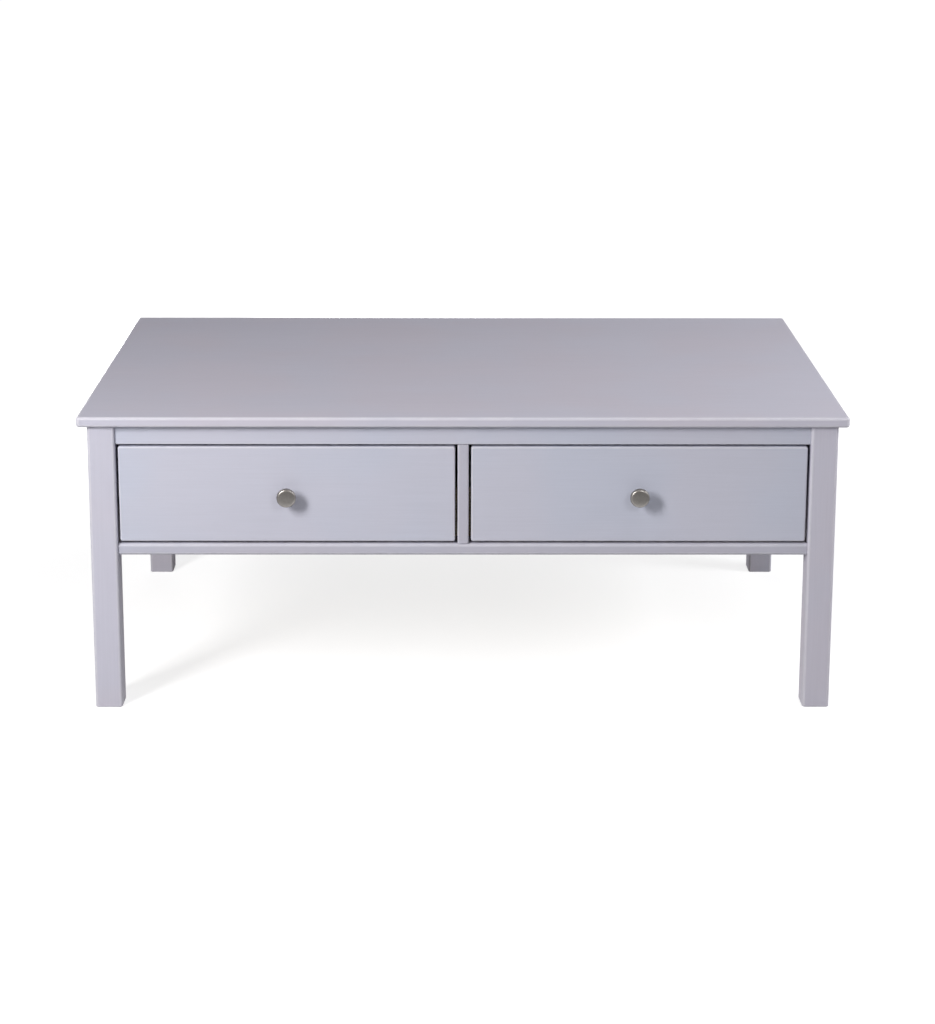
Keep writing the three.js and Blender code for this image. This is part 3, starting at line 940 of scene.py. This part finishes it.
@dataclass
class Rails(BoardWork):
    """The two front rails, the aprons at the sides and the rear, and the partition."""

    arris: float = 1.5 * MM
    nose_arris: float = 4.5 * MM

    def build(self) -> None:
        """Builds the rails and aprons from blocks, and the notched partition from its node."""
        self.board("front_upper_rail", self.arris, Grain.ALONG_X, PANEL_PAINT)
        self.board("front_lower_rail", self.nose_arris, Grain.ALONG_X, RAIL_PAINT)
        self.board("rear_apron", self.arris, Grain.ALONG_X)
        for side in Side:
            self.board(f"side_apron_{side.word}", self.arris, Grain.ALONG_Y)
        partition = fair(copy_of("centre_partition", "centre_partition_board"))
        seat(partition, Body.FRAME, RAIL_PAINT, Grain.ALONG_Y, ["centre_partition"])


@dataclass
class ScrewMaker:
    """Small cross-head screws, modelled once for each kind and copied."""

    sides: int = 24
    recess_span: float = 0.56
    recess_width: float = 0.16
    dome: float = 0.45
    dome_segments: int = 3
    flat_chamfer: float = 0.12
    tip_chamfer: float = 0.2

    def model(self, name: str, radius: float, height: float, domed: bool) -> bpy.types.Object:
        """Models a head on its seat at z = 0, with a cross recess.

        Args:
            name: The screw's name.
            radius: The head's radius.
            height: The head's height.
            domed: Whether the head's edge is rounded, or it is flat and set flush.

        Returns:
            The head.
        """
        clear_selection()
        bpy.ops.mesh.primitive_cylinder_add(
            vertices=self.sides, radius=radius, depth=height, location=(0.0, 0.0, height / 2))
        head = bpy.context.object
        head.name = name
        to_origin(head)
        rim, segments = (self.dome, self.dome_segments) if domed else (self.flat_chamfer, 1)
        ease_edges(head, height * rim, segments, lies_at(Z_AXIS, height))
        for turn in (0.0, math.pi / 2):
            self.cut_slot(head, radius, height, turn)
        return head

    def add_shank(self, head: bpy.types.Object, head_radius: float, radius: float, length: float) -> None:
        """Grows a shank below a head's seat.

        Args:
            head: The head.
            head_radius: Its radius.
            radius: The shank's radius.
            length: The shank's length.
        """
        open_empty(head, "FACE")
        for face in head.data.polygons:
            face.select = face.normal.z < -FLAT_SHARE
        bpy.ops.object.mode_set(mode="EDIT")
        bpy.ops.mesh.inset(thickness=head_radius - radius)
        bpy.ops.mesh.extrude_region_move(TRANSFORM_OT_translate={"value": (0.0, 0.0, -length)})
        bpy.ops.object.mode_set(mode="OBJECT")
        ease_edges(head, radius * self.tip_chamfer, 1, lies_at(Z_AXIS, -length))

    def cut_slot(self, head: bpy.types.Object, radius: float, height: float, turn: float) -> None:
        """Cuts one arm of the cross recess.

        Args:
            head: The head.
            radius: Its radius.
            height: Its height.
            turn: The arm's direction.
        """
        span = 2 * radius * self.recess_span
        width = 2 * radius * self.recess_width
        bpy.ops.mesh.primitive_cube_add(size=1.0, location=(0.0, 0.0, height), rotation=(0.0, 0.0, turn))
        tool = bpy.context.object
        tool.scale = (span, width, height)
        to_origin(tool)
        pick(head)
        cut = head.modifiers.new("recess", "BOOLEAN")
        cut.operation = "DIFFERENCE"
        cut.object = tool
        bpy.ops.object.modifier_apply(modifier=cut.name)
        bpy.data.objects.remove(tool)

    def drive(
        self,
        head: bpy.types.Object,
        name: str,
        place: Vector,
        facing: Facing,
        body: Body,
        replaced: Iterable[str] = (),
    ) -> None:
        """Puts a copy of a head at its seat.

        Args:
            head: The modelled head.
            name: The copy's name.
            place: The middle of its seat.
            facing: The way it faces.
            body: The body that it rides on.
            replaced: The nodes that it stands for.
        """
        screw = add_object(name, head.data.copy())
        screw.location = place
        screw.rotation_euler = facing.value
        to_origin(screw)
        fair(screw)
        seat(screw, body, ZINC, replaced=replaced)


SCREWS = ScrewMaker()


@dataclass
class Runners:
    """Pine strips that the drawers slide on, and the guide boards, each held by countersunk screws."""

    screw_radius: float = 3.2 * MM
    head_height: float = 0.5 * MM
    proud: float = 0.1 * MM
    screw_shares: tuple[float, ...] = (0.08, 0.5, 0.92)

    def build(self) -> None:
        """Builds the strips and the guide boards from their nodes and drives their screws."""
        head = SCREWS.model("runner_screw_model", self.screw_radius, self.head_height, domed=False)
        for side in Side:
            strips = {
                f"runner_{side.word}_outer": -side.value,
                f"runner_{side.word}_inner": side.value,
                f"guide_board_{side.word}": side.value,
            }
            for node, towards in strips.items():
                strip = fair(copy_of(node, f"{node}_strip"))
                seat(strip, Body.FRAME, PINE, Grain.ALONG_Y, [node])
                self.drive_screws(head, node, towards)
        bpy.data.objects.remove(head)

    def drive_screws(self, head: bpy.types.Object, node: str, towards: int) -> None:
        """Drives the screws of one strip.

        Args:
            head: The modelled head.
            node: The strip's node.
            towards: The sign of X that its free face looks to.
        """
        low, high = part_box(node)
        face = high.x if towards > 0 else low.x
        seat_x = face - towards * (self.head_height - self.proud)
        facing = Facing.RIGHT if towards > 0 else Facing.LEFT
        for index, share in enumerate(self.screw_shares):
            place = Vector((seat_x, low.y + share * (high.y - low.y), (low.z + high.z) / 2))
            SCREWS.drive(head, f"{node}_screw_{index + 1}", place, facing, Body.FRAME)


@dataclass
class Brackets:
    """Steel angles under the top, with a pan-head screw through each flange."""

    sheet: float = 2 * MM
    flange_middle: float = 14 * MM
    screw_radius: float = 4.2 * MM
    head_height: float = 2.4 * MM
    lift: float = 0.05 * MM

    def build(self) -> None:
        """Dresses the angles and drives their screws."""
        head = SCREWS.model("bracket_screw_model", self.screw_radius, self.head_height, domed=True)
        for side in Side:
            inwards = Facing.LEFT if side is Side.RIGHT else Facing.RIGHT
            for index in (1, 2):
                self.fit(head, f"top_bracket_{side.word}_{index}", inwards)
            self.fit(head, f"top_bracket_rear_{side.word}", Facing.FRONT)
        bpy.data.objects.remove(head)

    def fit(self, head: bpy.types.Object, node: str, facing: Facing) -> None:
        """Dresses one angle and drives a screw into the apron and one into the top.

        Args:
            head: The modelled head.
            node: The angle's node.
            facing: The way its upright flange faces.
        """
        dress_node(node, ZINC)
        low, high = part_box(node)
        away = {
            Facing.RIGHT: Vector((1, 0, 0)),
            Facing.LEFT: Vector((-1, 0, 0)),
            Facing.FRONT: Vector((0, -1, 0)),
        }[facing]
        half_depth = abs((high - low).dot(away)) / 2
        wall = Vector(((low.x + high.x) / 2, (low.y + high.y) / 2, high.z)) - away * half_depth
        upright = wall + away * (self.sheet + self.lift) - Vector((0, 0, self.flange_middle))
        flat = wall + away * self.flange_middle - Vector((0, 0, self.sheet + self.lift))
        SCREWS.drive(head, f"{node}_screw_1", upright, facing, Body.FRAME)
        SCREWS.drive(head, f"{node}_screw_2", flat, Facing.DOWN, Body.FRAME)


@dataclass
class Dowels:
    """Beech dowels inside the joints."""

    prefix: str = "dowel_"

    def build(self) -> None:
        """Dresses every dowel."""
        for node in sorted(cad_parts):
            if node.startswith(self.prefix):
                dress_node(node, BEECH)


@dataclass
class Knob:
    """A turned knob: a small foot, a neck and a broad head with a rolled rim."""

    steps: int = 96
    foot_radius: float = 7.5 * MM
    foot_height: float = 2 * MM
    neck_radius: float = 5.5 * MM
    neck_height: float = 6 * MM
    head_radius: float = 14 * MM
    rim_radius: float = 4.4 * MM
    back_radius: float = 2.4 * MM
    rim_thickness: float = 7 * MM
    crown: float = 0.4 * MM
    arc_steps: int = 6
    crisp_angle: float = math.radians(50.0)

    def profile(self, projection: float) -> list[tuple[float, float]]:
        """Works out the knob's outline.

        Args:
            projection: How far the crown stands off the drawer's face.

        Returns:
            Points of (radius, height), from the foot to the crown.
        """
        rim_top = projection - self.crown
        rim_foot = rim_top - self.rim_thickness
        bead = self.foot_height / 2
        neck_foot = (self.neck_radius + bead, self.foot_height)
        back_edge = (self.head_radius - self.back_radius, rim_foot)
        face_edge = (self.head_radius - self.rim_radius, rim_top)
        corners = (
            ((self.foot_radius, bead), (self.foot_radius, self.foot_height), neck_foot),
            (neck_foot, (self.neck_radius, self.foot_height), (self.neck_radius, self.neck_height)),
            ((self.neck_radius, self.neck_height), (self.neck_radius, rim_foot), back_edge),
            (back_edge, (self.head_radius, rim_foot), (self.head_radius, rim_foot + self.back_radius)),
            ((self.head_radius, rim_top - self.rim_radius), (self.head_radius, rim_top), face_edge),
            (face_edge, (self.head_radius / 2, projection), (self.head_radius / self.steps, projection)),
        )
        points = [(self.foot_radius, 0.0)]
        for corner in corners:
            points += self.arc(*corner)
        return points

    def arc(
        self, start: tuple[float, float], corner: tuple[float, float], end: tuple[float, float]
    ) -> list[tuple[float, float]]:
        """Rounds a corner of the outline with a quadratic curve.

        Args:
            start: Where the curve leaves the first line.
            corner: Where the two lines would meet.
            end: Where the curve joins the second line.

        Returns:
            Points of the curve, with its start and end.
        """
        points = []
        for step in range(self.arc_steps + 1):
            t = step / self.arc_steps
            weights = ((1 - t) ** 2, 2 * t * (1 - t), t * t)
            points.append(tuple(
                sum(weight * place for weight, place in zip(weights, places))
                for places in zip(start, corner, end)))
        return points

    def turn(self, name: str, foot: Vector, projection: float) -> bpy.types.Object:
        """Turns the knob by extruding and resizing a ring along the outline.

        Args:
            name: The knob's name.
            foot: The middle of its foot, on the drawer's face.
            projection: How far its crown stands off that face.

        Returns:
            The knob.
        """
        outline = self.profile(projection)
        radius, height = outline[0]
        clear_selection()
        bpy.ops.mesh.primitive_circle_add(
            vertices=self.steps, radius=radius, fill_type="NGON",
            location=foot, rotation=Facing.FRONT.value)
        knob = bpy.context.object
        knob.name = name
        to_origin(knob)
        bpy.ops.object.mode_set(mode="EDIT")
        bpy.ops.mesh.select_all(action="SELECT")
        for next_radius, next_height in outline[1:]:
            if math.hypot(next_radius - radius, next_height - height) < SAME_PLACE:
                continue
            rise = Vector((0.0, height - next_height, 0.0))
            bpy.ops.mesh.extrude_region_move(TRANSFORM_OT_translate={"value": rise})
            centre = foot - Vector((0.0, next_height, 0.0))
            bpy.ops.transform.resize(value=(next_radius / radius,) * 3, center_override=centre)
            radius, height = next_radius, next_height
        bpy.ops.mesh.merge(type="CENTER")
        bpy.ops.mesh.select_all(action="SELECT")
        bpy.ops.mesh.normals_make_consistent(inside=False)
        bpy.ops.object.mode_set(mode="OBJECT")
        bpy.ops.object.shade_smooth_by_angle(angle=self.crisp_angle)
        mark_turned_radius(knob, foot)
        return knob


def mark_turned_radius(obj: bpy.types.Object, centre: Vector) -> None:
    """Writes each corner's distance from an axis along Y, for the lathe rings.

    Args:
        obj: The turned piece.
        centre: A point on its axis.
    """
    marks = obj.data.attributes.new("turned_radius", "FLOAT", "POINT")
    for vertex, mark in zip(obj.data.vertices, marks.data):
        mark.value = math.hypot(vertex.co.x - centre.x, vertex.co.z - centre.z)


@dataclass
class Drawer:
    """One drawer: a painted front, a dovetailed pine box, a plywood bottom and its knob."""

    side: Side
    knob: Knob = field(default_factory=Knob)
    box_arris: float = 0.8 * MM
    box_segments: int = 2
    long_edge: float = 60 * MM
    knob_screw_radius: float = 2 * MM
    bottom_screw_radius: float = 3.4 * MM
    bottom_screw_height: float = 0.5 * MM
    bottom_screw_proud: float = 0.1 * MM
    bottom_screw_inset: float = 6 * MM
    bottom_screw_shares: tuple[float, ...] = (0.12, 0.5, 0.88)

    @property
    def body(self) -> Body:
        """The body that the drawer's pieces ride on."""
        return Body.LEFT_DRAWER if self.side is Side.LEFT else Body.RIGHT_DRAWER

    @property
    def prefix(self) -> str:
        """How the drawer's nodes begin."""
        return f"drawer_{self.side.word}"

    def build(self) -> None:
        """Builds the front, the box, the bottom, the knob and the screws."""
        front = fair(copy_of(f"{self.prefix}_front", f"{self.prefix}_front_panel"))
        seat(front, self.body, PANEL_PAINT, Grain.ALONG_X, [f"{self.prefix}_front"])
        self.build_box()
        dress_node(f"{self.prefix}_bottom", PLYWOOD)
        self.build_knob()
        self.drive_knob_screw()
        self.drive_bottom_screws()

    def build_box(self) -> None:
        """Builds the sides and the back from their nodes, with their long edges eased."""
        grains = {"side_left": Grain.ALONG_Y, "side_right": Grain.ALONG_Y, "back": Grain.ALONG_X}
        for part, grain in grains.items():
            node = f"{self.prefix}_{part}"
            board = copy_of(node, f"{node}_board")
            low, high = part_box(node)
            self.ease_long_edges(board, low.z, high.z)
            seat(fair(board), self.body, PINE, grain, [node])

    def ease_long_edges(self, board: bpy.types.Object, low_z: float, high_z: float) -> None:
        """Eases the long edges at a board's top and foot.

        Args:
            board: The board.
            low_z: Its foot.
            high_z: Its top.
        """
        level = lies_at(Z_AXIS, low_z, high_z)

        def long_and_level(start: Vector, end: Vector) -> bool:
            """Says whether the edge is long and lies at the top or the foot."""
            return level(start, end) and (end - start).length > self.long_edge

        ease_edges(board, self.box_arris, self.box_segments, long_and_level)

    def build_knob(self) -> None:
        """Turns the knob on its node's axis."""
        node = f"{self.prefix}_knob"
        low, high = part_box(node)
        foot = Vector(((low.x + high.x) / 2, high.y, (low.z + high.z) / 2))
        knob = self.knob.turn(f"{node}_turned", foot, high.y - low.y)
        seat(knob, self.body, NICKEL, replaced=[node])

    def drive_knob_screw(self) -> None:
        """Drives the machine screw that holds the knob from inside the drawer."""
        node = f"{self.prefix}_knob_screw"
        low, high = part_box(node)
        seat_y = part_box(f"{self.prefix}_front")[1].y
        radius = (high.z - low.z) / 2
        head = SCREWS.model("knob_screw_model", radius, high.y - seat_y, domed=True)
        SCREWS.add_shank(head, radius, self.knob_screw_radius, seat_y - low.y)
        place = Vector(((low.x + high.x) / 2, seat_y, (low.z + high.z) / 2))
        SCREWS.drive(head, f"{node}_driven", place, Facing.BACK, self.body, [node])
        bpy.data.objects.remove(head)

    def drive_bottom_screws(self) -> None:
        """Drives countersunk screws through the bottom into the back."""
        low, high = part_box(f"{self.prefix}_bottom")
        head = SCREWS.model(
            "bottom_screw_model", self.bottom_screw_radius, self.bottom_screw_height, domed=False)
        for index, share in enumerate(self.bottom_screw_shares):
            place = Vector((
                low.x + share * (high.x - low.x),
                high.y - self.bottom_screw_inset,
                low.z + self.bottom_screw_height - self.bottom_screw_proud))
            SCREWS.drive(head, f"{self.prefix}_bottom_screw_{index + 1}", place, Facing.DOWN, self.body)
        bpy.data.objects.remove(head)


def main() -> None:
    """Builds the camera, the studio and each sub-assembly in order."""
    logging.basicConfig(level=logging.INFO, format="%(name)s: %(message)s")
    assemblies = (
        PhotoCamera(), Studio(), Tabletop(), Legs(), Rails(), Runners(), Brackets(), Dowels(),
        Drawer(Side.LEFT), Drawer(Side.RIGHT))
    for assembly in assemblies:
        assembly.build()


if __name__ == "__main__":
    main()
